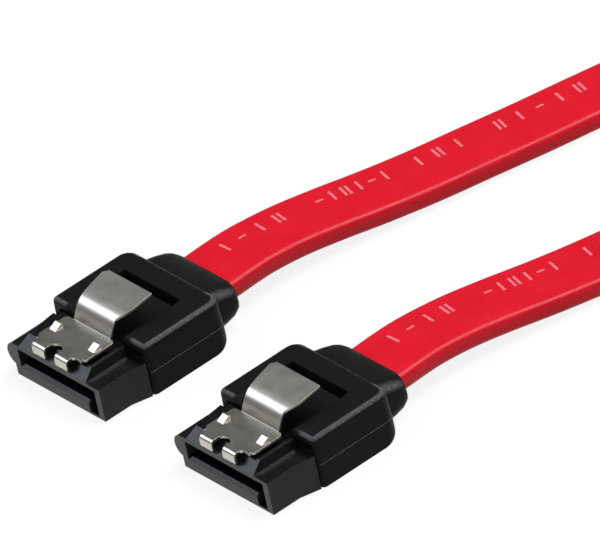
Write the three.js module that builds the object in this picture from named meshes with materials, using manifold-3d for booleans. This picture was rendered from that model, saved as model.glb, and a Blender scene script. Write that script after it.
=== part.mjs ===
// Flat data cable with two identical latching plugs lying side by side.
// Millimetres, +Z up, noses towards -Y, the ribbon leaving towards +Y. The origin is on the surface
// that the plugs lie on, in the middle of the two plugs.
import * as THREE from "three";
import { RoundedBoxGeometry } from "three/addons/geometries/RoundedBoxGeometry.js";
import { mergeVertices } from "three/addons/utils/BufferGeometryUtils.js";
import Module from "manifold-3d";

const wasm = await Module();
wasm.setup();
const { Manifold, Mesh: SolidMesh } = wasm;

// Clearances
const face_gap = 0.1; // between flat faces that seat on each other
const side_gap = 0.15; // around a piece in its pocket
const cord_gap = 0.3; // between the cord's solids and what they meet

// Plug spacing and heights
const plug_pitch = 23.8;
const nose_lift = 0.2; // underside of the nose above the surface

// Nose: the glossy housing with the L-shaped socket
const nose_width = 12.5;
const nose_length = 5.3; // from the mating face to the overmould
const nose_foot_lift = 0.02; // the same at the overmould, where the foot spreads
const shoulder_height = 3.65;
const shoulder_rise = 0.05; // of the shoulder towards the deck
const deck_left = -5.0; // raised deck under the latch
const deck_right = 3.95;
const deck_height = 4.5;
const deck_flank = 0.4; // sideways run of the deck's sloping flank
const ramp_length = 1.3; // sloping front of the deck
const well_depth = 0.5; // of the well that the latch dips into
const well_margin = 0.2; // around the latch
const tenon_wall = 0.5; // of the narrower rear half, beside the conductors' cavity
const tenon_length = 3.7;
const tenon_low = 0.8;
const tenon_high = 3.1;
const rib_height = 2.3; // half-round keying rib on the left flank
const rib_proud = 1.1;
const rib_middle = 2.3;
const rib_setback = 0.15;
const rib_root = 0.5; // of the rib, inside the flank
const flare_length = 2.2; // the flanks of the nose spread towards the overmould
const flare_proud = 0.35;

// Socket
const socket_width = 10.95;
const socket_floor = 1.6;
const socket_roof = 3.3;
const socket_end_wall = 0.3;
const leg_width = 1.3; // short leg of the L, at the right end
const leg_floor = 0.45;
const lip_chamfer = 0.3;

// Contacts
const contact_count = 7;
const contact_pitch = 1.27;
const contact_middle = -0.6;
const contact_width = 0.5;
const contact_thickness = 0.2;
const contact_sink = 0.35; // of the strip's middle below the socket's floor
const contact_bump = 0.5;
const contact_front = 1.8;
const tail_length = 1.1; // behind the tenon

// Overmould
const mould_width = 13.3;
const mould_height = 5.4;
const mould_length = 9.4;
const mould_round = 0.6; // of the top edges
const mould_foot_round = 0.12;
const mould_front_round = 0.5; // of the upright edges
const mould_rear_round = 1.3;
const mould_rear_foot_round = 0.9; // of the rear edge along the underside
const mould_rear_top_round = 0.8;
const mould_swell = 0.15; // the half below the parting line is this much wider each side
const parting_level = 2.5;
const parting_step = 0.04;
const cavity_margin = 0.39; // beside the outer contacts, in the soldered conductors' cavity
const cavity_low = 0.7;
const cavity_roof = 0.2; // above the tenon
const cavity_end = 14.0;
const neck_length = 3.0;
const neck_start_inside = 1.8;
const neck_inset = 1.35; // of the neck's sides from the overmould's, where it leaves it
const neck_drop = 0.45; // of the neck's top below the overmould's, there
const neck_foot = 0.4; // of the neck's underside above the surface, there
const neck_wall = 0.35; // above and below the ribbon, at the end of the neck
const neck_side_wall = 0.7;
const channel_width = 6.3; // at its floor, under the press tab
const channel_top_width = 8.2;
const channel_facet = 0.8; // height of its sloping sides
const channel_length = 5.9;
const channel_level = 0.8; // level stretch of its floor, at the front
const channel_end_depth = 0.25;
const slit_width = 8.05; // slit across the overmould, behind the channel
const slit_length = 0.9;
const slit_wall = 0.3; // between it and the conductors' cavity
const pocket_depth = 0.9; // recess under each arm's front lip, open to the channel
const pocket_height = 0.9;
const pocket_wall_left = 1.15; // of the arm outside it
const pocket_wall_right = 0.35;

// Latch, one sheet of spring steel
const latch_middle = -0.15;
const sheet = 0.25;
const plate_width = 6.9;
const plate_lift = 0.25; // underside of the plate above the deck
const plate_front = 0.95;
const plate_clear = 0.65; // between the plate's rear edge and the overmould
const plate_corner = 0.45;
const plate_step = 0.25; // the plate is this much narrower beside its fingers
const finger_inner = 0.75; // two front fingers, each side of a round notch
const finger_outer = 2.45;
const finger_shift = -0.4; // of the notch and the fingers from the plate's middle
const finger_clear = 0.1; // fingertips above the ramp
const finger_front = 0.3; // where the fingers start to curl down
const notch_depth = 0.5;
const tab_width = 5.2;
const tab_shift = 0.15; // of its middle from the plate's
const tab_flare = 0.65; // it is this much wider each side at the rear
const tab_length = 5.0; // behind the plate
const barb_offset = 2.75;
const barb_width = 0.85;
const barb_start = 2.2;
const barb_length = 1.2;
const barb_height = 0.42;

// Ribbon and its conductors
const ribbon_width = 7.4;
const ribbon_thickness = 2.0;
const ribbon_exit_level = 2.6;
const ribbon_end = 14.2; // the jacket's end, inside the overmould
const signal_diameter = 0.9;
const wire_gap = 0.1; // between the conductors in the jacket
const drain_diameter = 0.4;

// Hank of the length behind the plugs, the ribbon on its edge
const hank_middle = 10.0;
const hank_start = 95.0;
const hank_run = 54.0; // the straight, tied stretch
const hank_spacing = 3.4; // between the two ribbons' centres
const hank_level = 4.8; // height of the ribbon's middle
const loop_radius = 22.0;
const waist_radius = 30.0;
const tie_place = 26.0; // behind the start of the hank
const tie_width = 8.0;
const tie_thickness = 0.7;

// Sizes and places that follow from the others
const nose_half = nose_width / 2;
const deck_foot = shoulder_height + shoulder_rise;
const ramp_slope = (deck_height - deck_foot) / ramp_length;
const well_floor = deck_height - well_depth;
const plate_top = deck_height + plate_lift + sheet;
const finger_tip = deck_foot + ramp_slope * sheet + finger_clear;
const contact_span = (contact_count - 1) * contact_pitch;
const contact_level = socket_floor - contact_sink;
const cavity_width = contact_span + 2 * (Math.abs(contact_middle) + cavity_margin);
const cavity_high = tenon_high + cavity_roof;
const slit_floor = cavity_high + slit_wall;
const tenon_width = cavity_width + 2 * tenon_wall;
const tenon_end = nose_length + tenon_length;
const mould_front = nose_length + face_gap;
const mould_rear = mould_front + mould_length;
const plug_length = mould_rear + neck_length;
const plate_rear = mould_front - plate_clear;
const tab_rear = plate_rear + tab_length;
const channel_end = mould_front + channel_length;
const tail_end = tenon_end + tail_length;
const wire_pitch = signal_diameter + wire_gap;
const wire_level = contact_level + contact_thickness / 2 + face_gap + signal_diameter / 2;
const plugs_shift_x = (nose_half + rib_proud - mould_width / 2 - mould_swell) / 2;
const plugs_shift_y = -plug_length / 2;

// Ribbon's middle line from each plug to the hank: x and y from the middle of the two plugs, z, and the
// roll of its wide side in degrees from lying flat. The stretch near the plug is shared.
const near_plug = [
  [0, 14.2, 2.6],
  [0, 16.0, 2.6],
  [0, 18.1, 2.6],
  [-0.15, 20.6, 2.58],
  [-0.25, 23.2, 2.5],
  [-0.04, 27.4, 2.2],
  [0.66, 31.7, 1.85],
  [1.64, 36.2, 1.5],
  [2.62, 41.0, 1.22],
  [3.75, 46.8, 1.07],
];
const lead_a_far = [
  [-6.6, 43.5, 1.05, 0],
  [-5.5, 48.8, 1.05, 0],
  [-4.4, 54.0, 1.05, 0],
  [-3.2, 59.0, 1.35, 4],
  [-1.7, 64.2, 2.0, 16],
  [0.3, 69.5, 2.8, 34],
  [2.6, 74.8, 3.5, 54],
  [4.9, 80.0, 4.3, 73],
  [6.8, 85.0, 4.75, 86],
  [8.0, 90.0, 4.8, 90],
  [8.3, 95.0, 4.8, 90],
];
const lead_b_far = [
  [17.0, 43.5, 1.05, 0],
  [17.9, 48.8, 1.05, 0],
  [18.4, 54.0, 1.2, -2],
  [18.5, 59.0, 1.65, -10],
  [18.1, 64.2, 2.35, -24],
  [17.2, 69.5, 3.1, -42],
  [15.8, 74.8, 3.85, -60],
  [14.2, 80.0, 4.45, -77],
  [12.7, 85.0, 4.75, -87],
  [11.9, 90.0, 4.8, -90],
  [11.7, 95.0, 4.8, -90],
];

const finish = {
  nose: { color: 0x17181a, roughness: 0.28, metalness: 0 },
  overmould: { color: 0x1b1c1d, roughness: 0.62, metalness: 0 },
  latch: { color: 0xb9b6ae, roughness: 0.32, metalness: 1 },
  contact: { color: 0xd8b25a, roughness: 0.3, metalness: 1 },
  signal: { color: 0xe9e6df, roughness: 0.5, metalness: 0 },
  drain: { color: 0xc4c6c8, roughness: 0.35, metalness: 1 },
  ribbon: { color: 0xdc1e35, roughness: 0.38, metalness: 0 },
  tie: { color: 0x151515, roughness: 0.85, metalness: 0 },
};

const part = new THREE.Group();
part.name = "data_cable";

function solidOf(geometry) {
  const bare = geometry.clone();
  bare.deleteAttribute("normal");
  bare.deleteAttribute("uv");
  const merged = mergeVertices(bare, 1e-4);
  return new Manifold(
    new SolidMesh({
      numProp: 3,
      vertProperties: merged.attributes.position.array,
      triVerts: new Uint32Array(merged.index.array),
    }),
  );
}

function geometryOf(solid) {
  const mesh = solid.getMesh();
  const positions = new THREE.BufferAttribute(new Float32Array(mesh.vertProperties), 3);
  const geometry = new THREE.BufferGeometry().setAttribute("position", positions);
  geometry.setIndex(new THREE.BufferAttribute(mesh.triVerts, 1));
  geometry.computeVertexNormals();
  return geometry;
}

function piece(name, geometry, look) {
  const mesh = new THREE.Mesh(geometry, new THREE.MeshStandardMaterial(finish[look]));
  mesh.name = name;
  return mesh;
}

function block([x0, x1], [y0, y1], [z0, z1]) {
  const box = new THREE.BoxGeometry(x1 - x0, y1 - y0, z1 - z0);
  return solidOf(box.translate((x0 + x1) / 2, (y0 + y1) / 2, (z0 + z1) / 2));
}

function outline(points) {
  return new THREE.Shape(points.map(([a, b]) => new THREE.Vector2(a, b)));
}

function extruded(shape, depth, curveSegments = 8) {
  return new THREE.ExtrudeGeometry(shape, { depth, bevelEnabled: false, curveSegments });
}

// A (y, z) shape between two x, and an (x, z) shape between two y.
function alongX(shape, x0, x1) {
  const turn = new THREE.Matrix4().makeBasis(
    new THREE.Vector3(0, 1, 0),
    new THREE.Vector3(0, 0, 1),
    new THREE.Vector3(1, 0, 0),
  );
  return solidOf(extruded(shape, x1 - x0).applyMatrix4(turn).translate(x0, 0, 0));
}

function alongY(shape, y0, y1) {
  const turn = new THREE.Matrix4().makeBasis(
    new THREE.Vector3(1, 0, 0),
    new THREE.Vector3(0, 0, 1),
    new THREE.Vector3(0, -1, 0),
  );
  return solidOf(extruded(shape, y1 - y0).applyMatrix4(turn).translate(0, y1, 0));
}

function joined(solids) {
  return solids.reduce((all, one) => all.add(one));
}

// A sheet or strip of even thickness seen edge on: the (y, z) outline around a smooth middle line.
function bentStrip(middle, thickness, divisions) {
  const line = new THREE.SplineCurve(middle.map(([y, z]) => new THREE.Vector2(y, z)));
  const above = [];
  const below = [];
  for (let i = 0; i <= divisions; i++) {
    const at = line.getPointAt(i / divisions);
    const along = line.getTangentAt(i / divisions);
    const side = new THREE.Vector2(-along.y, along.x).multiplyScalar(thickness / 2);
    below.push(at.clone().sub(side));
    above.unshift(at.clone().add(side));
  }
  return new THREE.Shape([...below, ...above]);
}

// A closed skin over rings of equal point counts, each one listed the same way round.
function lofted(rings) {
  const count = rings[0].length;
  const positions = rings.flat(2);
  const index = [];
  for (let r = 0; r + 1 < rings.length; r++)
    for (let i = 0; i < count; i++) {
      const a = r * count + i;
      const b = r * count + ((i + 1) % count);
      index.push(a, a + count, b, b, a + count, b + count);
    }
  const last = (rings.length - 1) * count;
  for (let i = 1; i + 1 < count; i++) {
    index.push(0, i, i + 1);
    index.push(last, last + i + 1, last + i);
  }
  const geometry = new THREE.BufferGeometry();
  geometry.setAttribute("position", new THREE.Float32BufferAttribute(positions, 3));
  geometry.setIndex(index);
  return geometry;
}

function roundedSection(y, half_width, low, high, radius) {
  const ring = [];
  const corners = [
    [half_width - radius, high - radius, 0],
    [radius - half_width, high - radius, 90],
    [radius - half_width, low + radius, 180],
    [half_width - radius, low + radius, 270],
  ];
  for (const [x, z, from] of corners)
    for (let step = 0; step <= 4; step++) {
      const angle = THREE.MathUtils.degToRad(from + step * 22.5);
      ring.push([x + radius * Math.cos(angle), y, z + radius * Math.sin(angle)]);
    }
  return ring;
}

function noseHousing() {
  const section = outline([
    [-nose_half, nose_lift],
    [nose_half, nose_lift],
    [nose_half, shoulder_height],
    [deck_right + deck_flank, deck_foot],
    [deck_right, deck_height],
    [deck_left, deck_height],
    [deck_left - deck_flank / 2, deck_foot],
    [-nose_half, shoulder_height],
  ]);
  const rib = new THREE.Shape();
  rib.moveTo(-nose_half + rib_root, rib_middle - rib_height / 2);
  rib.lineTo(-nose_half + rib_root, rib_middle + rib_height / 2);
  rib.lineTo(-nose_half, rib_middle + rib_height / 2);
  rib.absellipse(-nose_half, rib_middle, rib_proud, rib_height / 2, Math.PI / 2, Math.PI * 1.5, false);
  const tenon = tenon_width / 2;
  const foot = lofted(
    [
      [nose_length - flare_length, nose_half, nose_lift],
      [nose_length, nose_half + flare_proud, nose_foot_lift],
    ].map(([y, wide, low]) => [
      [wide, y, low],
      [wide, y, shoulder_height],
      [-wide, y, shoulder_height],
      [-wide, y, low],
    ]),
  );
  const ramp = outline([
    [-1, deck_foot],
    [0, deck_foot],
    [ramp_length, deck_height],
    [ramp_length, deck_height + 1],
    [-1, deck_height + 1],
  ]);
  const well_half = plate_width / 2 + well_margin;
  const chamfer = outline([
    [-1, socket_floor - lip_chamfer - 1],
    [-1, socket_floor + 0.01],
    [lip_chamfer, socket_floor + 0.01],
    [lip_chamfer, socket_floor],
    [0, socket_floor - lip_chamfer],
    [0, socket_floor - lip_chamfer - 1],
  ]);
  const right = socket_width / 2;
  const inner_leg = right - leg_width;
  const socket_end = nose_length - socket_end_wall;
  const cuts = [
    alongX(ramp, -nose_width, nose_width),
    block(
      [latch_middle - well_half, latch_middle + well_half],
      [ramp_length + well_margin, nose_length + 1],
      [well_floor, deck_height + 1],
    ),
    block([-right, right], [-1, socket_end], [socket_floor, socket_roof]),
    block([inner_leg, right], [-1, socket_end], [leg_floor, socket_floor + 0.1]),
    alongX(chamfer, -right, inner_leg),
  ];
  for (const x of contactPlaces())
    cuts.push(
      block(
        [x - contact_width / 2 - face_gap, x + contact_width / 2 + face_gap],
        [contact_front - 0.5, tenon_end + 1],
        [contact_level - contact_thickness / 2 - face_gap, socket_floor + 0.1],
      ),
    );
  return cuts.reduce(
    (all, cut) => all.subtract(cut),
    joined([
      alongY(section, 0, nose_length),
      alongY(rib, rib_setback, nose_length),
      solidOf(foot),
      block([-tenon, tenon], [nose_length - 1, tenon_end], [tenon_low, tenon_high]),
    ]),
  );
}

function contactPlaces() {
  const places = [];
  for (let i = 0; i < contact_count; i++)
    places.push(contact_middle - contact_span / 2 + i * contact_pitch);
  return places;
}

function contact() {
  const z = contact_level;
  const bump = contact_front + 1.0;
  const middle = [
    [contact_front, z + contact_bump * 0.2],
    [bump, z + contact_bump],
    [bump + 1.2, z + contact_bump * 0.3],
    [bump + 2.4, z],
    [tenon_end, z],
    [tail_end, z],
  ];
  const shape = bentStrip(middle, contact_thickness, 26);
  return alongX(shape, -contact_width / 2, contact_width / 2);
}

// The flat plate with its two finger roots and the round notch between them.
function latchPlate() {
  const side = plate_width / 2;
  const beside_fingers = side - plate_step;
  const round = plate_corner;
  const plate = new THREE.Shape();
  plate.moveTo(finger_shift + finger_inner, finger_front);
  plate.lineTo(finger_shift + finger_outer, finger_front);
  plate.lineTo(finger_shift + finger_outer, plate_front - 0.2);
  plate.lineTo(finger_shift + finger_outer + 0.2, plate_front);
  plate.lineTo(beside_fingers, plate_front);
  plate.lineTo(beside_fingers, plate_front + plate_step);
  plate.lineTo(side, plate_front + 2 * plate_step);
  plate.absarc(side - round, plate_rear - round, round, 0, Math.PI / 2, false);
  plate.absarc(round - side, plate_rear - round, round, Math.PI / 2, Math.PI, false);
  plate.lineTo(-side, plate_front + 2 * plate_step);
  plate.lineTo(-beside_fingers, plate_front + plate_step);
  plate.lineTo(-beside_fingers, plate_front);
  plate.lineTo(finger_shift - finger_outer - 0.2, plate_front);
  plate.lineTo(finger_shift - finger_outer, plate_front - 0.2);
  plate.lineTo(finger_shift - finger_outer, finger_front);
  plate.lineTo(finger_shift - finger_inner, finger_front);
  plate.absellipse(finger_shift, plate_front, finger_inner, notch_depth, Math.PI, 0, true);
  plate.lineTo(finger_shift + finger_inner, finger_front);
  return solidOf(extruded(plate, sheet).translate(0, 0, plate_top - sheet));
}

function latch() {
  const middle = plate_top - sheet / 2;
  const finger = bentStrip(
    [
      [sheet / 2, finger_tip],
      [sheet / 2, middle - 0.3],
      [sheet / 2 + 0.1, middle - 0.07],
      [finger_front + 0.1, middle],
      [plate_front + 0.1, middle],
    ],
    sheet,
    16,
  );
  const tab = bentStrip(
    [
      [plate_rear - 0.6, middle],
      [plate_rear - 0.05, middle],
      [plate_rear + 0.14, middle + 0.12],
      [plate_rear + 0.32, middle + 0.45],
      [plate_rear + 0.6, middle + 0.98],
      [plate_rear + 0.92, middle + 1.42],
      [plate_rear + 1.3, middle + 1.7],
      [plate_rear + 1.9, middle + 1.87],
      [plate_rear + 2.9, middle + 2.05],
      [plate_rear + 3.9, middle + 2.22],
      [tab_rear, middle + 2.4],
    ],
    sheet,
    40,
  );
  const left = tab_shift - tab_width / 2;
  const right = tab_shift + tab_width / 2;
  const plan = outline([
    [left, plate_rear - 1],
    [right, plate_rear - 1],
    [right, plate_rear + 1.1],
    [right + 0.6 * tab_flare, plate_rear + 1.8],
    [right + tab_flare, plate_rear + 2.5],
    [right + tab_flare, tab_rear - 0.3],
    [right + tab_flare - 0.15, tab_rear + 1],
    [left - tab_flare + 0.6, tab_rear + 1],
    [left - tab_flare + 0.4, tab_rear - 0.1],
    [left - tab_flare, tab_rear - 0.5],
    [left - 0.75 * tab_flare, plate_rear + 3.3],
    [left - 0.45 * tab_flare, plate_rear + 2.1],
    [left, plate_rear + 0.95],
  ]);
  const barb = outline([
    [barb_start, plate_top - sheet / 2],
    [barb_start + barb_length, plate_top - sheet / 2],
    [barb_start + barb_length, plate_top + barb_height],
    [barb_start + barb_length - 0.15, plate_top + barb_height],
  ]);
  const window = solidOf(extruded(plan, 6).translate(0, 0, plate_top - 2));
  return joined([
    latchPlate(),
    alongX(finger, finger_shift + finger_inner, finger_shift + finger_outer),
    alongX(finger, finger_shift - finger_outer, finger_shift - finger_inner),
    alongX(tab, -plate_width, plate_width).intersect(window),
    alongX(barb, barb_offset - barb_width / 2, barb_offset + barb_width / 2),
    alongX(barb, -barb_offset - barb_width / 2, -barb_offset + barb_width / 2),
  ]).translate(latch_middle, 0, 0);
}

// The overmould at level z, clockwise from above: a rectangle with round corners. Its sides lean in above
// the parting line, and round fillets run along its lower and upper edges.
function mouldRing(z) {
  const fillet = (radius, depth) => radius - Math.sqrt(radius ** 2 - Math.max(depth, 0) ** 2);
  const top = (radius) => fillet(radius, z - (mould_height - radius));
  const foot = (radius) => fillet(radius, radius - z);
  const lean_from = parting_level + parting_step;
  const lean_to = mould_height - mould_round;
  const share = THREE.MathUtils.clamp((lean_to - z) / (lean_to - lean_from), 0, 1);
  const swell = z > parting_level ? (mould_swell - parting_step) * share : mould_swell;
  const inset = top(mould_round) + foot(mould_foot_round);
  const half = mould_width / 2 + swell - inset;
  const y0 = mould_front + inset;
  const y1 = mould_rear - top(mould_rear_top_round) - foot(mould_rear_foot_round);
  const front = Math.max(mould_front_round - inset, 0.1);
  const rear = Math.max(mould_rear_round - inset, 0.1);
  const ring = [];
  for (const [x, y, radius, from] of [
    [half - front, y0 + front, front, 270],
    [half - rear, y1 - rear, rear, 0],
    [rear - half, y1 - rear, rear, 90],
    [front - half, y0 + front, front, 180],
  ])
    for (let step = 0; step <= 6; step++) {
      const angle = THREE.MathUtils.degToRad(from + step * 15);
      ring.push([x + radius * Math.cos(angle), y + radius * Math.sin(angle), z]);
    }
  return ring.reverse();
}

function mouldShell() {
  const levels = [0, 0.25 * mould_foot_round, mould_foot_round];
  for (const share of [0.35, 0.65, 1]) levels.push(share * mould_rear_foot_round);
  levels.push(parting_level, parting_level + parting_step, mould_height - mould_rear_top_round);
  for (let step = 0; step <= 6; step++)
    levels.push(mould_height - mould_round * (1 - Math.sin((step / 12) * Math.PI)));
  return solidOf(lofted(levels.map(mouldRing)));
}

function overmould() {
  const half = mould_width / 2;
  const channel_low = channel_width / 2;
  const channel_top = channel_top_width / 2;
  const facet_low = mould_height - channel_facet;
  const shell = mouldShell();
  const end = mould_rear + neck_length;
  const end_half = ribbon_width / 2 + neck_side_wall;
  const end_low = ribbon_exit_level - ribbon_thickness / 2 - neck_wall;
  const end_high = ribbon_exit_level + ribbon_thickness / 2 + neck_wall;
  const neckSection = (y, inset, low, drop, round) =>
    roundedSection(y, half - neck_inset - inset, neck_foot + low, mould_height - neck_drop - drop, round);
  const neck = lofted([
    neckSection(mould_rear - neck_start_inside, 0, 0, 0, 1.5),
    neckSection(mould_rear, 0, 0, 0, 1.5),
    neckSection(mould_rear + 0.35 * neck_length, 0.02, 0.15, 0.23, 1.5),
    neckSection(mould_rear + 0.7 * neck_length, 0.1, 0.35, 0.53, 1.5),
    neckSection(mould_rear + 0.9 * neck_length, 0.35, 0.6, 0.8, 1.4),
    roundedSection(end, end_half, end_low, end_high, 1.2),
  ]);
  const channel = alongY(
    outline([
      [latch_middle - channel_low, well_floor - 1],
      [latch_middle + channel_low, well_floor - 1],
      [latch_middle + channel_low, facet_low],
      [latch_middle + channel_top, mould_height],
      [latch_middle + channel_top, mould_height + 1],
      [latch_middle - channel_top, mould_height + 1],
      [latch_middle - channel_top, mould_height],
      [latch_middle - channel_low, facet_low],
    ]),
    mould_front - 1,
    channel_end,
  );
  const above_floor = alongX(
    outline([
      [mould_front - 1, well_floor],
      [mould_front + channel_level, well_floor],
      [channel_end, mould_height - channel_end_depth],
      [channel_end, mould_height + 1],
      [mould_front - 1, mould_height + 1],
    ]),
    -mould_width,
    mould_width,
  );
  const tenon = tenon_width / 2 + side_gap;
  const bore = ribbon_width / 2 + side_gap;
  const bore_half = ribbon_thickness / 2 + side_gap;
  const cuts = [
    channel.intersect(above_floor),
    block(
      [latch_middle - slit_width / 2, latch_middle + slit_width / 2],
      [channel_end - 0.01, channel_end + slit_length],
      [slit_floor, mould_height + 1],
    ),
    block(
      [-tenon, tenon],
      [mould_front - 1, tenon_end + side_gap],
      [tenon_low - side_gap, tenon_high + side_gap],
    ),
    block([-cavity_width / 2, cavity_width / 2], [tenon_end, cavity_end], [cavity_low, cavity_high]),
    block(
      [-bore, bore],
      [cavity_end - 1, end + 1],
      [ribbon_exit_level - bore_half, ribbon_exit_level + bore_half],
    ),
  ];
  for (const x of [
    [pocket_wall_left - half, latch_middle - channel_low + face_gap],
    [latch_middle + channel_low - face_gap, half - pocket_wall_right],
  ])
    cuts.push(
      block(x, [mould_front - 1, mould_front + pocket_depth], [deck_foot, deck_foot + pocket_height]),
    );
  return cuts.reduce((all, cut) => all.subtract(cut), shell.add(solidOf(neck)));
}

// A conductor from the jacket's end to its contact's tail.
function conductor(x_at_jacket, x_at_tail, diameter) {
  const start = ribbon_end - cord_gap;
  const exit = ribbon_exit_level;
  const path = new THREE.CatmullRomCurve3([
    new THREE.Vector3(x_at_jacket, start, exit),
    new THREE.Vector3(x_at_jacket, start - 0.8, exit - 0.05),
    new THREE.Vector3((x_at_jacket + x_at_tail) / 2, (start + tail_end) / 2, (exit + wire_level) / 2),
    new THREE.Vector3(x_at_tail, tail_end + 0.4, wire_level),
    new THREE.Vector3(x_at_tail, tail_end - 0.8, wire_level),
  ]);
  const section = new THREE.Shape().absarc(0, 0, diameter / 2, 0, 2 * Math.PI, false);
  return new THREE.ExtrudeGeometry(section, { steps: 8, curveSegments: 4, extrudePath: path });
}

function plug(side) {
  const group = new THREE.Group();
  group.name = "plug_" + side;
  group.add(piece("nose_housing_" + side, geometryOf(noseHousing()), "nose"));
  group.add(piece("overmould_" + side, geometryOf(overmould()), "overmould"));
  group.add(piece("latch_" + side, geometryOf(latch()), "latch"));
  contactPlaces().forEach((x, i) => {
    const strip = piece("contact_" + (i + 1) + "_" + side, geometryOf(contact()), "contact");
    strip.position.x = x;
    const bare = i % 3 === 0;
    const wire = piece(
      (bare ? "drain_wire_" : "signal_wire_") + (i + 1) + "_" + side,
      conductor((i - (contact_count - 1) / 2) * wire_pitch, x, bare ? drain_diameter : signal_diameter),
      bare ? "drain" : "signal",
    );
    group.add(strip, wire);
  });
  return group;
}

// The ribbon's path, whose wide side starts level and takes the roll given with each point.
class RibbonPath extends THREE.CatmullRomCurve3 {
  constructor(points) {
    super(points.map(([x, y, z]) => new THREE.Vector3(x, y, z)));
    this.rolls = points.map((point) => point[3]);
  }

  rollAt(share) {
    const at = this.getUtoTmapping(share) * (this.rolls.length - 1);
    const low = Math.min(Math.floor(at), this.rolls.length - 2);
    return THREE.MathUtils.lerp(this.rolls[low], this.rolls[low + 1], at - low);
  }

  computeFrenetFrames(segments) {
    const tangents = [];
    const normals = [];
    const binormals = [];
    for (let i = 0; i <= segments; i++) {
      const tangent = this.getTangentAt(i / segments);
      const level = new THREE.Vector3(tangent.y, -tangent.x, 0).normalize();
      level.applyAxisAngle(tangent, THREE.MathUtils.degToRad(this.rollAt(i / segments)));
      tangents.push(tangent);
      normals.push(level);
      binormals.push(new THREE.Vector3().crossVectors(tangent, level));
    }
    return { tangents, normals, binormals };
  }
}

function ribbonLead(plug_x, far) {
  const near = near_plug.map(([x, y, z]) => [plug_x + x, plugs_shift_y + y, z, 0]);
  const path = new RibbonPath([...near, ...far]);
  const wide = ribbon_width / 2;
  const thick = ribbon_thickness / 2;
  const cut = ribbon_thickness / 4;
  const section = outline([
    [wide, -thick + cut],
    [wide, thick - cut],
    [wide - cut, thick],
    [cut - wide, thick],
    [-wide, thick - cut],
    [-wide, -thick + cut],
    [cut - wide, -thick],
    [wide - cut, -thick],
  ]);
  return new THREE.ExtrudeGeometry(section, { steps: 32, extrudePath: path });
}

// The outer shape of the folded ribbon: a tied run of two thicknesses, and a round loop at its end.
function hankSolid() {
  const proud = ribbon_thickness / 2;
  const side = hank_spacing / 2;
  const waist = side + waist_radius;
  const reach = Math.sqrt((waist_radius + loop_radius) ** 2 - waist ** 2);
  const lean = Math.atan2(reach, waist);
  const run = hank_run - cord_gap;
  const shape = new THREE.Shape();
  shape.moveTo(-side - proud, 0);
  shape.lineTo(side + proud, 0);
  shape.lineTo(side + proud, run);
  shape.absarc(waist, run, waist_radius - proud, Math.PI, Math.PI - lean, true);
  shape.absarc(0, run + reach, loop_radius + proud, -lean, Math.PI + lean, false);
  shape.absarc(-waist, run, waist_radius - proud, lean, 0, true);
  const height = ribbon_width;
  const geometry = extruded(shape, height, 14);
  return geometry.translate(hank_middle, hank_start + cord_gap, hank_level - height / 2);
}

function hankTie() {
  const wide = hank_spacing / 2 + ribbon_thickness / 2 + cord_gap;
  const high = ribbon_width / 2 + cord_gap;
  const inside = block([-wide, wide], [-tie_width, tie_width], [-high, high]);
  const outer = new RoundedBoxGeometry(
    2 * (wide + tie_thickness),
    tie_width,
    2 * (high + tie_thickness),
    2,
    tie_thickness,
  );
  return solidOf(outer).subtract(inside).translate(hank_middle, hank_start + tie_place, hank_level);
}

const sides = { a: plugs_shift_x - plug_pitch / 2, b: plugs_shift_x + plug_pitch / 2 };
const far_leads = { a: lead_a_far, b: lead_b_far };
for (const [side, x] of Object.entries(sides)) {
  const group = plug(side);
  group.position.set(x, plugs_shift_y, 0);
  part.add(group);
  part.add(piece("ribbon_lead_" + side, ribbonLead(x, far_leads[side]), "ribbon"));
}
part.add(piece("ribbon_hank", hankSolid(), "ribbon"));
part.add(piece("hank_tie", geometryOf(hankTie()), "tie"));

export default part;
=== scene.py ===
"""Flat red data cable with two latching plugs, dressed and lit like the product photograph."""

import math

import bmesh
import bpy
from mathutils import Matrix, Vector


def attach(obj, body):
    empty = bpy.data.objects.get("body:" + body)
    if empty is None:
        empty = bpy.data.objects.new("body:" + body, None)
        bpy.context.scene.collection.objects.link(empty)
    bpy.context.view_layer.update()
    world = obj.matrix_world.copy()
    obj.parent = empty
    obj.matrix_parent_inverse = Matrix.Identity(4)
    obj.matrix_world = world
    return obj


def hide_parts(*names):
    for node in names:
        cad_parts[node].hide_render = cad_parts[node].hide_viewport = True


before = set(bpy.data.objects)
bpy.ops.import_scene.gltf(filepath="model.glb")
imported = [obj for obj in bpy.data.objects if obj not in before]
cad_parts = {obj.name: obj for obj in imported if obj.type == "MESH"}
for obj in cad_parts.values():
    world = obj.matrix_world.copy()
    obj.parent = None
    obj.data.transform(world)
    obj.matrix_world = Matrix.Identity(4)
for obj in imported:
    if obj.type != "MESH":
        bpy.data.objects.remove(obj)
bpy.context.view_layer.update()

MM = 0.001

# Photograph's frame, and the camera that fits the plugs' corners in it
FRAME_WIDTH = 600
FRAME_HEIGHT = 551
PIXELS_PER_METRE = 11160
AZIMUTH = math.radians(57.13)
ELEVATION = math.radians(34.53)
ROLL = math.radians(-12.77)
AIM = Vector((-0.0015, -0.0009, 0.0032))
AIM_PIXEL = (194.1, 366.6)
CAMERA_DISTANCE = 2.2
SENSOR = 36.0

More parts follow.
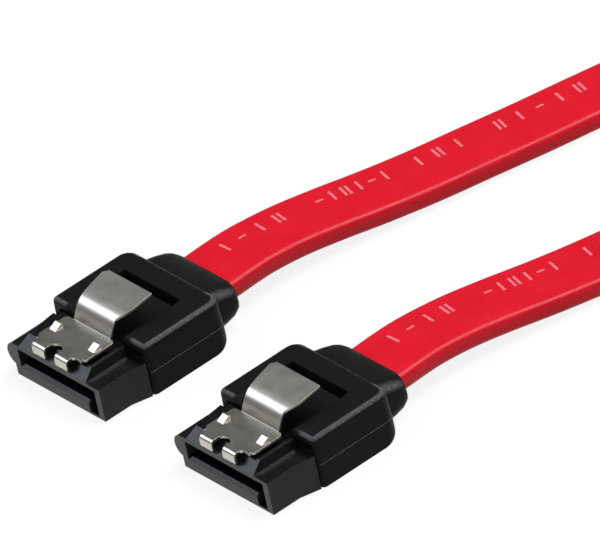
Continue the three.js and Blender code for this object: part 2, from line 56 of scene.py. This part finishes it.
# Plugs and ribbon, as in the CAD source
PLUG_X = {"a": -0.011625, "b": 0.012175}
PLUG_SHIFT_Y = -0.0089
RIBBON_WIDTH = 0.0074
RIBBON_THICKNESS = 0.002
CORNER_RADIUS = 0.62 * MM  # of the ribbon's section
CROWN = 0.06 * MM  # how far its wide faces rise towards their middle
HANK_MIDDLE = 0.010
HANK_START = 0.095
HANK_RUN = 0.054
HANK_SPACING = 0.0034
HANK_LEVEL = 0.0048
LOOP_RADIUS = 0.022
WAIST_RADIUS = 0.030
LOOP_DROP = 0.001  # the loop lies this much lower than the tied run

# Middle line from each plug to the hank: x, y, z, and the roll of the wide side in degrees
NEAR_PLUG = [
    (0.0, 0.0142, 0.0026),
    (0.0, 0.0160, 0.0026),
    (0.0, 0.0181, 0.0026),
    (-0.00015, 0.0206, 0.00258),
    (-0.00025, 0.0232, 0.0025),
    (-0.00004, 0.0274, 0.0022),
    (0.00066, 0.0317, 0.00185),
    (0.00164, 0.0362, 0.0015),
    (0.00262, 0.0410, 0.00122),
    (0.00375, 0.0468, 0.00107),
]
LEAD_FAR = {
    "a": [
        (-0.0066, 0.0435, 0.00105, 0),
        (-0.0055, 0.0488, 0.00105, 0),
        (-0.0044, 0.0540, 0.00105, 0),
        (-0.0032, 0.0590, 0.00135, 4),
        (-0.0017, 0.0642, 0.0020, 16),
        (0.0003, 0.0695, 0.0028, 34),
        (0.0026, 0.0748, 0.0035, 54),
        (0.0049, 0.0800, 0.0043, 73),
        (0.0068, 0.0850, 0.00475, 86),
        (0.0080, 0.0900, 0.0048, 90),
        (0.0083, 0.0950, 0.0048, 90),
    ],
    "b": [
        (0.0170, 0.0435, 0.00105, 0),
        (0.0179, 0.0488, 0.00105, 0),
        (0.0184, 0.0540, 0.0012, -2),
        (0.0185, 0.0590, 0.00165, -10),
        (0.0181, 0.0642, 0.00235, -24),
        (0.0172, 0.0695, 0.0031, -42),
        (0.0158, 0.0748, 0.00385, -60),
        (0.0142, 0.0800, 0.00445, -77),
        (0.0127, 0.0850, 0.00475, -87),
        (0.0119, 0.0900, 0.0048, -90),
        (0.0117, 0.0950, 0.0048, -90),
    ],
}
RING_STEP = 0.0008
BEND_STEPS = 24  # points in each bend of the hank
CORNER_STEPS = 6
FACE_STEPS = 8

# Noise nodes give values mostly between these two
NOISE_LOW = 0.3
NOISE_HIGH = 0.7
BEVEL_SAMPLES = 6

# The nose is matter on its flanks: from and to which share of the normal along x, and by how much
FLANK_NORMAL = (0.9, 0.98)
FLANK_ROUGHNESS = 0.4
# The overmould's painted highlight, a lighter base colour along its outer upper edges in place of
# light caught on the rounded ridge: distance from its plug's middle, the normal's z where it starts
# above the side and where it ends below the top, and how much of it the grain leaves
PAINTED_HIGHLIGHT_SIDE = (4.3 * MM, 4.9 * MM)
PAINTED_HIGHLIGHT_ABOVE_SIDE = (0.3, 0.62)
PAINTED_HIGHLIGHT_BELOW_TOP = (0.995, 0.88)
PAINTED_HIGHLIGHT_GRAIN = (0.3, 1.0)

# Joining the CAD's facets into faces, and the pull of large faces on the shading
WELD_DISTANCE = 0.002 * MM
FLAT_ANGLE = math.radians(0.2)
FACE_WEIGHT = 90


def make_camera():
    back = Vector(
        (
            math.sin(AZIMUTH) * math.cos(ELEVATION),
            -math.cos(AZIMUTH) * math.cos(ELEVATION),
            math.sin(ELEVATION),
        )
    )
    level = Vector((math.cos(AZIMUTH), math.sin(AZIMUTH), 0))
    upright = back.cross(level)
    right = level * math.cos(ROLL) + upright * math.sin(ROLL)
    up = upright * math.cos(ROLL) - level * math.sin(ROLL)
    across = (AIM_PIXEL[0] - FRAME_WIDTH / 2) / PIXELS_PER_METRE
    high = (FRAME_HEIGHT / 2 - AIM_PIXEL[1]) / PIXELS_PER_METRE
    place = AIM + back * CAMERA_DISTANCE - right * across - up * high
    data = bpy.data.cameras.new("photo_camera")
    data.sensor_width = SENSOR
    data.lens = SENSOR * CAMERA_DISTANCE * PIXELS_PER_METRE / FRAME_WIDTH
    data.clip_start = CAMERA_DISTANCE / 10
    data.clip_end = CAMERA_DISTANCE * 10
    camera = bpy.data.objects.new("photo_camera", data)
    bpy.context.scene.collection.objects.link(camera)
    turned = Matrix((right, up, back)).transposed().to_4x4()
    turned.translation = place
    camera.matrix_world = turned
    bpy.context.scene.camera = camera


def node(material, kind, **settings):
    """A new shader node, with its sockets set by name."""
    made = material.node_tree.nodes.new(kind)
    for name, value in settings.items():
        socket = made.inputs.get(name.replace("_", " "))
        if socket is None:
            setattr(made, name, value)
        else:
            socket.default_value = value
    return made


def link(material, source, target):
    material.node_tree.links.new(source, target)


def new_material(name, color, roughness, metallic=0.0, specular=0.5):
    """A material and its shader, with plain values where nothing is linked later."""
    material = bpy.data.materials.new(name)
    material.use_nodes = True
    shader = material.node_tree.nodes["Principled BSDF"]
    shader.inputs["Base Color"].default_value = (*color, 1)
    shader.inputs["Roughness"].default_value = roughness
    shader.inputs["Metallic"].default_value = metallic
    shader.inputs["Specular IOR Level"].default_value = specular
    material.diffuse_color = (*color, 1)
    return material, shader


def noise(material, scale, detail=3.0, roughness=0.5):
    """Noise over the piece's own coordinates; scale is per metre."""
    place = node(material, "ShaderNodeTexCoord")
    grain = node(material, "ShaderNodeTexNoise", Scale=scale, Detail=detail, Roughness=roughness)
    link(material, place.outputs["Object"], grain.inputs["Vector"])
    return grain.outputs["Fac"]


def axes(material, output):
    """The X, Y and Z sockets of the piece's own Normal or Object coordinates."""
    place = node(material, "ShaderNodeTexCoord")
    parts = node(material, "ShaderNodeSeparateXYZ")
    link(material, place.outputs[output], parts.inputs["Vector"])
    return parts.outputs


def spread(material, source, low, high):
    """A noise spread from low to high."""
    made = node(material, "ShaderNodeMapRange")
    made.inputs["From Min"].default_value = NOISE_LOW
    made.inputs["From Max"].default_value = NOISE_HIGH
    made.inputs["To Min"].default_value = low
    made.inputs["To Max"].default_value = high
    link(material, source, made.inputs["Value"])
    return made.outputs["Result"]


def maths(material, operation, first, second=None):
    """The result of one sum on sockets or numbers."""
    made = node(material, "ShaderNodeMath")
    made.operation = operation
    for i, value in enumerate((first, second)):
        if isinstance(value, (int, float)):
            made.inputs[i].default_value = value
        elif value is not None:
            link(material, value, made.inputs[i])
    return made.outputs[0]


def ranged(material, source, low, high):
    """Rises smoothly from 0 at low to 1 at high, also where high is the smaller of the two."""
    made = node(material, "ShaderNodeMapRange")
    made.interpolation_type = "SMOOTHSTEP"
    made.inputs["From Min"].default_value = low
    made.inputs["From Max"].default_value = high
    link(material, source, made.inputs["Value"])
    return made.outputs["Result"]


def rounded(material, shader, radius, height=None, depth=0.0):
    """Soft edges, with a bump on top of them."""
    edge = node(material, "ShaderNodeBevel", samples=BEVEL_SAMPLES, Radius=radius)
    normal = edge.outputs["Normal"]
    if height is not None:
        bump = node(material, "ShaderNodeBump", Distance=depth, Strength=1.0)
        link(material, height, bump.inputs["Height"])
        link(material, normal, bump.inputs["Normal"])
        normal = bump.outputs["Normal"]
    link(material, normal, shader.inputs["Normal"])


def blended(material, shader, factor, dark, light):
    """Base colour from dark at 0 to light at 1."""
    mix = node(material, "ShaderNodeMix", data_type="RGBA")
    first, second = [s for s in mix.inputs if s.type == "RGBA"]
    first.default_value = (*dark, 1)
    second.default_value = (*light, 1)
    link(material, factor, mix.inputs["Factor"])
    result = next(s for s in mix.outputs if s.type == "RGBA")
    link(material, result, shader.inputs["Base Color"])


def tinted(material, shader, source, dark, light):
    """Base colour between two tones, by a noise."""
    blended(material, shader, spread(material, source, 0, 1), dark, light)


def nose_plastic():
    """Glossy black, matter on the two flanks."""
    material, shader = new_material("nose_gloss", (0.006, 0.0063, 0.0068), 0.2, specular=0.3)
    flow = noise(material, 900, detail=4)
    sideways = maths(material, "ABSOLUTE", axes(material, "Normal")["X"])
    matter = maths(material, "MULTIPLY", ranged(material, sideways, *FLANK_NORMAL), FLANK_ROUGHNESS)
    satin = maths(material, "ADD", spread(material, flow, 0.17, 0.25), matter)
    link(material, satin, shader.inputs["Roughness"])
    tinted(material, shader, flow, (0.005, 0.0052, 0.0057), (0.007, 0.0074, 0.008))
    rounded(material, shader, 0.045 * MM, noise(material, 2500), 0.002 * MM)
    return material


def overmould_plastic():
    """Matte black with a fine grain, and a painted highlight along its outer upper edges: a lighter
    base colour broken by the grain.
    """
    material, shader = new_material("overmould_grain", (0.01, 0.01, 0.01), 0.4, specular=0.05)
    grain = noise(material, 5200, detail=2, roughness=0.6)
    link(material, spread(material, grain, 0.33, 0.47), shader.inputs["Roughness"])
    middle = (PLUG_X["a"] + PLUG_X["b"]) / 2
    across = maths(material, "SUBTRACT", axes(material, "Object")["X"], middle)
    across = maths(material, "ABSOLUTE", across)
    side = maths(material, "ABSOLUTE", maths(material, "SUBTRACT", across, PLUG_X["b"] - middle))
    outer = ranged(material, side, *PAINTED_HIGHLIGHT_SIDE)
    upward = axes(material, "Normal")["Z"]
    above_side = ranged(material, upward, *PAINTED_HIGHLIGHT_ABOVE_SIDE)
    below_top = ranged(material, upward, *PAINTED_HIGHLIGHT_BELOW_TOP)
    edge = maths(material, "MULTIPLY", outer, maths(material, "MULTIPLY", above_side, below_top))
    painted_highlight = maths(material, "MULTIPLY", edge, spread(material, grain, *PAINTED_HIGHLIGHT_GRAIN))
    # Painted highlight: the base colour lifts to a pale grey along the outer upper edges, standing
    # in for light caught on the rounded ridge
    blended(material, shader, painted_highlight, (0.01, 0.0102, 0.0102), (0.14, 0.143, 0.15))
    rounded(material, shader, 0.06 * MM, grain, 0.028 * MM)
    return material


def latch_steel():
    material, shader = new_material("latch_steel", (0.56, 0.535, 0.465), 0.34, metallic=1.0)
    satin = noise(material, 900, detail=4)
    link(material, spread(material, satin, 0.31, 0.37), shader.inputs["Roughness"])
    tinted(material, shader, noise(material, 700), (0.54, 0.515, 0.445), (0.58, 0.555, 0.485))
    rounded(material, shader, 0.05 * MM)
    return material


def contact_gold():
    material, shader = new_material("contact_gold", (0.83, 0.58, 0.22), 0.25, metallic=1.0)
    link(material, spread(material, noise(material, 3000), 0.2, 0.34), shader.inputs["Roughness"])
    rounded(material, shader, 0.03 * MM)
    return material


def wire_insulation():
    material, shader = new_material("wire_insulation", (0.78, 0.76, 0.71), 0.45)
    rounded(material, shader, 0.02 * MM, noise(material, 3000), 0.01 * MM)
    return material


def tinned_wire():
    material, shader = new_material("tinned_wire", (0.6, 0.61, 0.62), 0.3, metallic=1.0)
    rounded(material, shader, 0.02 * MM, noise(material, 4000), 0.01 * MM)
    return material


def ribbon_jacket():
    material, shader = new_material("ribbon_red", (0.72, 0.006, 0.02), 0.36, specular=0.28)
    flow = noise(material, 500, detail=4)
    link(material, spread(material, flow, 0.3, 0.42), shader.inputs["Roughness"])
    tinted(material, shader, noise(material, 260), (0.69, 0.005, 0.018), (0.75, 0.007, 0.023))
    bump = node(material, "ShaderNodeBump", Distance=0.006 * MM, Strength=1.0)
    link(material, noise(material, 3500), bump.inputs["Height"])
    link(material, bump.outputs["Normal"], shader.inputs["Normal"])
    return material


def print_ink():
    material, shader = new_material("print_ink", (0.86, 0.17, 0.2), 0.5, specular=0.3)
    tinted(material, shader, noise(material, 4000), (0.8, 0.11, 0.14), (0.9, 0.25, 0.28))
    return material


def strap_fabric():
    material, shader = new_material("strap_fabric", (0.014, 0.014, 0.015), 0.85)
    shader.inputs["Sheen Weight"].default_value = 0.3
    fuzz = noise(material, 5000, detail=5, roughness=0.7)
    tinted(material, shader, fuzz, (0.008, 0.008, 0.009), (0.03, 0.03, 0.032))
    rounded(material, shader, 0.2 * MM, fuzz, 0.15 * MM)
    return material


def through(points, steps=12):
    """A smooth line through the points: centripetal Catmull-Rom, as the CAD's own curve."""
    points = [Vector(p) for p in points]
    ends = [2 * points[0] - points[1], *points, 2 * points[-1] - points[-2]]
    line = []
    for p0, p1, p2, p3 in zip(ends, ends[1:], ends[2:], ends[3:]):
        t1 = math.sqrt((p1 - p0).length)
        t2 = t1 + math.sqrt((p2 - p1).length)
        t3 = t2 + math.sqrt((p3 - p2).length)
        for step in range(steps):
            t = t1 + (t2 - t1) * step / steps
            a1 = p0.lerp(p1, t / t1)
            a2 = p1.lerp(p2, (t - t1) / (t2 - t1))
            a3 = p2.lerp(p3, (t - t2) / (t3 - t2))
            b1 = a1.lerp(a2, t / t2)
            b2 = a2.lerp(a3, (t - t1) / (t3 - t1))
            line.append(b1.lerp(b2, (t - t1) / (t2 - t1)))
    line.append(points[-1])
    return line


def lead_line(side):
    """(middle, wide direction) pairs from the plug to the hank."""
    near = [(PLUG_X[side] + x, PLUG_SHIFT_Y + y, z) for x, y, z in NEAR_PLUG]
    far = LEAD_FAR[side]
    line = through(near + [p[:3] for p in far])
    rolls = [0.0] * len(near) + [p[3] for p in far]
    turns = [r.x for r in through([(r, i, 0) for i, r in enumerate(rolls)])]
    pairs = []
    for i, middle in enumerate(line):
        along = (line[min(i + 1, len(line) - 1)] - line[max(i - 1, 0)]).normalized()
        level = Vector((along.y, -along.x, 0)).normalized()
        turn = Matrix.Rotation(math.radians(turns[i]), 3, along)
        pairs.append((middle, turn @ level))
    return pairs


def hank_line():
    """The tied run and the round loop at its end, from the first lead's side to the second's."""
    side = HANK_SPACING / 2
    waist = side + WAIST_RADIUS
    reach = math.sqrt((WAIST_RADIUS + LOOP_RADIUS) ** 2 - waist**2)
    lean = math.atan2(reach, waist)
    steps = BEND_STEPS
    loop_y = HANK_RUN + reach
    half = [(-side, HANK_RUN * i / steps) for i in range(1, steps)]
    for i in range(steps):
        angle = lean * i / steps
        x = -waist + WAIST_RADIUS * math.cos(angle)
        half.append((x, HANK_RUN + WAIST_RADIUS * math.sin(angle)))
    for i in range(2 * steps):
        angle = math.pi + lean - (math.pi / 2 + lean) * i / (2 * steps)
        half.append((LOOP_RADIUS * math.cos(angle), loop_y + LOOP_RADIUS * math.sin(angle)))
    top = (0.0, loop_y + LOOP_RADIUS)
    plan = half + [top] + [(-x, y) for x, y in reversed(half)]
    pairs = []
    for x, y in plan:
        share = min(max((y - HANK_RUN / 2) / (top[1] - HANK_RUN / 2), 0), 1)
        z = HANK_LEVEL - LOOP_DROP * share * share * (3 - 2 * share)
        pairs.append((Vector((HANK_MIDDLE + x, HANK_START + y, z)), Vector((0, 0, -1))))
    return pairs


def ribbon_line():
    """Evenly spaced (distance, middle, along, wide, up) along the whole ribbon."""
    back = [(p, -w) for p, w in reversed(lead_line("b"))]
    pairs = lead_line("a") + hank_line() + back
    distances = [0.0]
    for (p, _), (q, _) in zip(pairs, pairs[1:]):
        distances.append(distances[-1] + (q - p).length)
    count = round(distances[-1] / RING_STEP)
    rings = []
    at = 0
    for i in range(count + 1):
        wanted = distances[-1] * i / count
        while at < len(pairs) - 2 and distances[at + 1] < wanted:
            at += 1
        share = (wanted - distances[at]) / max(distances[at + 1] - distances[at], 1e-9)
        (middle, wide), (next_middle, next_wide) = pairs[at], pairs[at + 1]
        rings.append((wanted, middle.lerp(next_middle, share), wide.lerp(next_wide, share)))
    line = []
    for i, (wanted, middle, wide) in enumerate(rings):
        along = (rings[min(i + 1, count)][1] - rings[max(i - 1, 0)][1]).normalized()
        wide = (wide - along * wide.dot(along)).normalized()
        line.append((wanted, middle, along, wide, wide.cross(along)))
    return line


def ribbon_section():
    """Across and up, round the section: flat faces a little crowned, round edges."""
    half = RIBBON_WIDTH / 2
    thick = RIBBON_THICKNESS / 2
    radius = CORNER_RADIUS
    crown = CROWN
    points = []
    for cx, cz, start in (
        (half - radius, thick - radius - crown, 0),
        (radius - half, thick - radius - crown, 90),
        (radius - half, radius + crown - thick, 180),
        (half - radius, radius + crown - thick, 270),
    ):
        for i in range(CORNER_STEPS + 1):
            angle = math.radians(start + 90 * i / CORNER_STEPS)
            points.append((cx + radius * math.cos(angle), cz + radius * math.sin(angle)))
    made = []
    for (x, z), (next_x, next_z) in zip(points, points[1:] + points[:1]):
        made.append((x, z))
        if abs(next_x - x) > half:
            for i in range(1, FACE_STEPS):
                share = i / FACE_STEPS
                lift = crown * (1 - (2 * share - 1) ** 2) * (1 if z > 0 else -1)
                made.append((x + (next_x - x) * share, z + (next_z - z) * share + lift))
    return made


def mesh_object(name, vertices, faces, material, smooth=True):
    mesh = bpy.data.meshes.new(name)
    mesh.from_pydata(vertices, [], faces)
    mesh.update()
    if smooth:
        mesh.shade_smooth()
    made = bpy.data.objects.new(name, mesh)
    made.data.materials.append(material)
    bpy.context.scene.collection.objects.link(made)
    return made


def make_ribbon(line, material):
    section = ribbon_section()
    count = len(section)
    vertices = []
    for _, middle, _, wide, up in line:
        vertices += [middle + wide * x + up * z for x, z in section]
    faces = []
    for ring in range(len(line) - 1):
        for i in range(count):
            a = ring * count + i
            b = ring * count + (i + 1) % count
            faces.append((a, b, b + count, a + count))
    last = (len(line) - 1) * count
    faces.append(tuple(reversed(range(count))))
    faces.append(tuple(last + i for i in range(count)))
    return mesh_object("ribbon", vertices, faces, material)


# Plain marks in place of print, in groups from each plug to the middle of the ribbon, nearer its
# left edge as seen from the plug's latch side
MARK_GROUPS = ((4, 2.0 * MM), (6, 1.35 * MM), (3, 2.1 * MM), (5, 2.1 * MM))  # marks and their pitch
MARK_KINDS = ("bar", "dash", "bar", "two bars")
MARK_CELLS = 4  # along each side of a mark, so that it follows the ribbon
MARK_HEIGHT = 1.6 * MM
MARK_STROKE = 0.26 * MM
MARK_START = 7.2 * MM
MARK_OFFSET = 1.1 * MM
GROUP_GAP = 2.2 * MM
INK_LIFT = 0.012 * MM


def on_ribbon(line, distance, across):
    """A point just above the ribbon's upper face."""
    at = min(max(distance / line[-1][0] * (len(line) - 1), 0), len(line) - 1.001)
    low = int(at)
    _, p, _, wide, up = line[low]
    _, q, _, next_wide, next_up = line[low + 1]
    share = at - low
    half = RIBBON_WIDTH / 2 - CORNER_RADIUS
    crown = CROWN * (1 - (across / half) ** 2)
    height = RIBBON_THICKNESS / 2 - CROWN + crown + INK_LIFT
    point = p.lerp(q, share) + wide.lerp(next_wide, share) * across
    return point + up.lerp(next_up, share) * height


def make_marks(line, material):
    vertices = []
    faces = []

    def patch(start, end, low, high):
        columns = MARK_CELLS
        first = len(vertices)
        for i in range(columns + 1):
            distance = start + (end - start) * i / columns
            for j in range(columns + 1):
                vertices.append(on_ribbon(line, distance, low + (high - low) * j / columns))
        for i in range(columns):
            for j in range(columns):
                a = first + i * (columns + 1) + j
                faces.append((a, a + columns + 1, a + columns + 2, a + 1))

    total = line[-1][0]
    pattern_length = sum(count * pitch + GROUP_GAP for count, pitch in MARK_GROUPS)
    stroke = MARK_STROKE / 2
    half = MARK_HEIGHT / 2
    for side in (-1, 1):
        distance = MARK_START
        while distance + pattern_length < total / 2:
            for group, (count, pitch) in enumerate(MARK_GROUPS):
                for mark in range(count):
                    middle = distance + mark * pitch
                    if side > 0:
                        middle = total - middle
                    across = side * MARK_OFFSET
                    low, high = across - half, across + half
                    kind = MARK_KINDS[(mark + group) % len(MARK_KINDS)]
                    if kind == "dash":
                        ends = (middle - half / 2, middle + half / 2)
                        patch(*ends, across - stroke, across + stroke)
                    elif kind == "two bars":
                        patch(middle - 3 * stroke, middle - stroke, low, high)
                        patch(middle + stroke, middle + 3 * stroke, low, high)
                    else:
                        patch(middle - stroke, middle + stroke, low, high)
                distance += count * pitch + GROUP_GAP
    return mesh_object("ribbon_marks", vertices, faces, material, smooth=False)


def skin(name, material, body, crease=32):
    """A CAD node with its facets joined, shaded smoothly up to a crease angle in degrees."""
    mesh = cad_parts[name].data.copy()
    mesh.materials.clear()
    mesh.materials.append(material)
    shape = bmesh.new()
    shape.from_mesh(mesh)
    bmesh.ops.remove_doubles(shape, verts=shape.verts, dist=WELD_DISTANCE)
    bmesh.ops.dissolve_limit(
        shape, angle_limit=FLAT_ANGLE, verts=shape.verts, edges=shape.edges
    )
    for face in shape.faces:
        face.smooth = True
        face.material_index = 0
    limit = math.radians(crease)
    for edge in shape.edges:
        edge.smooth = len(edge.link_faces) == 2 and edge.calc_face_angle(0.0) < limit
    shape.to_mesh(mesh)
    shape.free()
    made = bpy.data.objects.new(name + "_skin", mesh)
    bpy.context.scene.collection.objects.link(made)
    even = made.modifiers.new("even", "WEIGHTED_NORMAL")
    even.keep_sharp = True
    even.weight = FACE_WEIGHT
    graph = bpy.context.evaluated_depsgraph_get()
    made.data = bpy.data.meshes.new_from_object(made.evaluated_get(graph))
    made.modifiers.clear()
    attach(made, body)
    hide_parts(name)
    return made


def finish_plugs():
    """Skins on both plugs' pieces, by how their names start: material, slot and crease angle."""
    finishes = {
        "nose_housing": (nose_plastic(), "nose", 15),
        "overmould": (overmould_plastic(), "overmould", 32),
        "latch": (latch_steel(), "latch", 15),
        "contact": (contact_gold(), "contact", 32),
        "signal_wire": (wire_insulation(), "signal", 50),
        "drain_wire": (tinned_wire(), "drain", 50),
    }
    for name in sorted(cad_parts):
        for start, (material, slot, crease) in finishes.items():
            if name.startswith(start):
                body = name if start == "latch" else "cable"
                skin(name, material, body, crease)


# Floor and light
FLOOR_SIZE = 8.0
FLOOR_COLOR = 0.16
FLOOR_ROUGHNESS = 0.9
FLOOR_GLOW = 0.86
WORLD_LEVEL = 0.1
# Each softbox: direction from the object, distance, size, share of white on what faces it, colour
SOFTBOXES = {
    "main": ((0.18, 0.42, 0.89), 2.0, 1.3, 0.89, (1.0, 0.995, 0.985)),
    "front_left": ((-0.69, -0.3, 0.66), 2.0, 1.3, 0.42, (0.9, 0.97, 1.13)),
    "fill": ((0.85, -0.45, 0.3), 2.0, 1.2, 0.26, (1.0, 1.0, 1.0)),
}


def make_floor():
    """A plain floor, nearly white to the camera and in reflections, which keeps its shadows."""
    color = (FLOOR_COLOR,) * 3
    material, shader = new_material("floor", color, FLOOR_ROUGHNESS, specular=0.0)
    rays = node(material, "ShaderNodeLightPath").outputs
    seen = maths(material, "MAXIMUM", rays["Is Camera Ray"], rays["Is Glossy Ray"])
    seen = maths(material, "MAXIMUM", seen, rays["Is Transmission Ray"])
    glow = maths(material, "MULTIPLY", seen, FLOOR_GLOW)
    shader.inputs["Emission Color"].default_value = (1, 1, 1, 1)
    link(material, glow, shader.inputs["Emission Strength"])
    half = FLOOR_SIZE / 2
    corners = [(-half, -half, 0), (half, -half, 0), (half, half, 0), (-half, half, 0)]
    mesh_object("floor", corners, [(0, 1, 2, 3)], material, smooth=False)


def make_lights():
    world = bpy.data.worlds.new("studio")
    world.use_nodes = True
    world.node_tree.nodes["Background"].inputs["Color"].default_value = (1, 1, 1, 1)
    world.node_tree.nodes["Background"].inputs["Strength"].default_value = WORLD_LEVEL
    bpy.context.scene.world = world
    for name, (direction, distance, size, level, color) in SOFTBOXES.items():
        data = bpy.data.lights.new(name, "AREA")
        data.shape = "SQUARE"
        data.size = size
        data.color = color
        data.energy = math.pi**2 * distance**2 * level
        lamp = bpy.data.objects.new(name, data)
        bpy.context.scene.collection.objects.link(lamp)
        towards = Vector(direction).normalized()
        lamp.location = towards * distance
        lamp.rotation_euler = towards.to_track_quat("Z", "Y").to_euler()


make_camera()
line = ribbon_line()
ribbon = make_ribbon(line, ribbon_jacket())
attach(ribbon, "cable")
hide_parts("ribbon_lead_a", "ribbon_lead_b", "ribbon_hank")
marks = make_marks(line, print_ink())
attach(marks, "cable")
tie = skin("hank_tie", strap_fabric(), "cable")
finish_plugs()
make_floor()
make_lights()
bpy.context.scene.view_settings.view_transform = "Standard"
